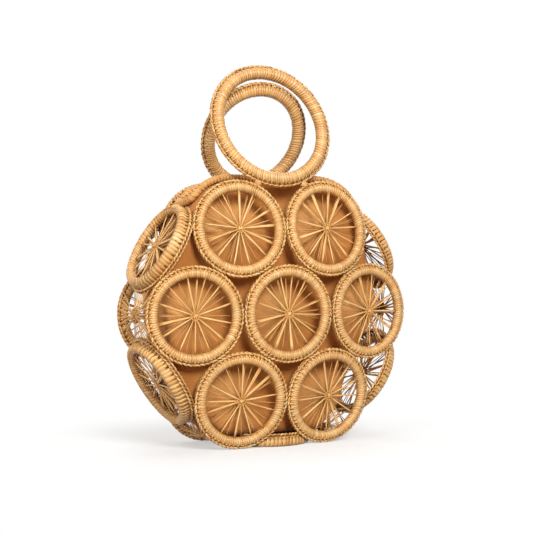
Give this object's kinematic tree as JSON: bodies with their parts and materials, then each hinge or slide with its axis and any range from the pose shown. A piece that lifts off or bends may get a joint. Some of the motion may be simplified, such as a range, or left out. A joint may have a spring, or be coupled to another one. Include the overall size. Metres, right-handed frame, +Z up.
{
  "type": "circle bag",
  "caption": "Handbag of straw-wrapped rings with spoked webs, sewn into domed panels and a gusset round a cloth pouch, with a folding ring handle on each panel.",
  "frame": {"origin": "on the floor under the middle of the bag", "axes": "+X to the right seen from the front, -Y towards the front panel, +Z up"},
  "size_m": [0.275, 0.1108, 0.364],
  "materials": {
    "wrapped_straw": "golden straw wound round and round, slightly glossy",
    "web_straw": "pale flat straw strands, satin",
    "border_straw": "straw in small chain stitches, satin",
    "handle_straw": "golden straw wound round and round, slightly glossy",
    "core_wire": "plain wire",
    "pouch_cloth": "matt caramel cotton",
    "hem_cloth": "matt caramel cotton rolled over a cord"
  },
  "bodies": {
    "bag_body": {"front_ring_top_left": "wrapped_straw", "front_ring_top_right": "wrapped_straw", "front_ring_mid_left": "wrapped_straw", "front_ring_centre": "wrapped_straw", "front_ring_mid_right": "wrapped_straw", "front_ring_low_left": "wrapped_straw", "front_ring_low_right": "wrapped_straw", "back_ring_top_left": "wrapped_straw", "back_ring_top_right": "wrapped_straw", "back_ring_mid_left": "wrapped_straw", "back_ring_centre": "wrapped_straw", "back_ring_mid_right": "wrapped_straw", "back_ring_low_left": "wrapped_straw", "back_ring_low_right": "wrapped_straw", "side_ring_upper_left": "wrapped_straw", "side_ring_lower_left": "wrapped_straw", "side_ring_upper_right": "wrapped_straw", "side_ring_lower_right": "wrapped_straw", "base_ring": "wrapped_straw", "front_web_top_left": "web_straw", "front_web_top_right": "web_straw", "front_web_mid_left": "web_straw", "front_web_centre": "web_straw", "front_web_mid_right": "web_straw", "front_web_low_left": "web_straw", "front_web_low_right": "web_straw", "back_web_top_left": "web_straw", "back_web_top_right": "web_straw", "back_web_mid_left": "web_straw", "back_web_centre": "web_straw", "back_web_mid_right": "web_straw", "back_web_low_left": "web_straw", "back_web_low_right": "web_straw", "side_web_upper_left": "web_straw", "side_web_lower_left": "web_straw", "side_web_upper_right": "web_straw", "side_web_lower_right": "web_straw", "base_web": "web_straw", "corner_web_left": "web_straw", "corner_web_right": "web_straw", "corner_web_low_left": "web_straw", "corner_web_low_right": "web_straw", "front_borders": "border_straw", "back_borders": "border_straw", "side_borders": "border_straw", "front_cores": "core_wire", "back_cores": "core_wire", "side_cores": "core_wire", "liner_pouch": "pouch_cloth", "liner_hem": "hem_cloth", "front_handle_ties": "border_straw", "rear_handle_ties": "border_straw"},
    "front_handle": {"front_handle_ring": "handle_straw", "front_handle_core": "core_wire", "front_handle_border": "border_straw"},
    "rear_handle": {"rear_handle_ring": "handle_straw", "rear_handle_core": "core_wire", "rear_handle_border": "border_straw"}
  },
  "joints": [
    {"name": "front_handle_fold", "type": "hinge", "parent": "bag_body", "child": "front_handle", "pos_m": [0, -0.03795, 0.24769], "axis": [1, 0, 0], "range_deg": [0, 120]},
    {"name": "rear_handle_fold", "type": "hinge", "parent": "bag_body", "child": "rear_handle", "pos_m": [0, 0.03795, 0.24769], "axis": [1, 0, 0], "range_deg": [-124, 0]}
  ]
}
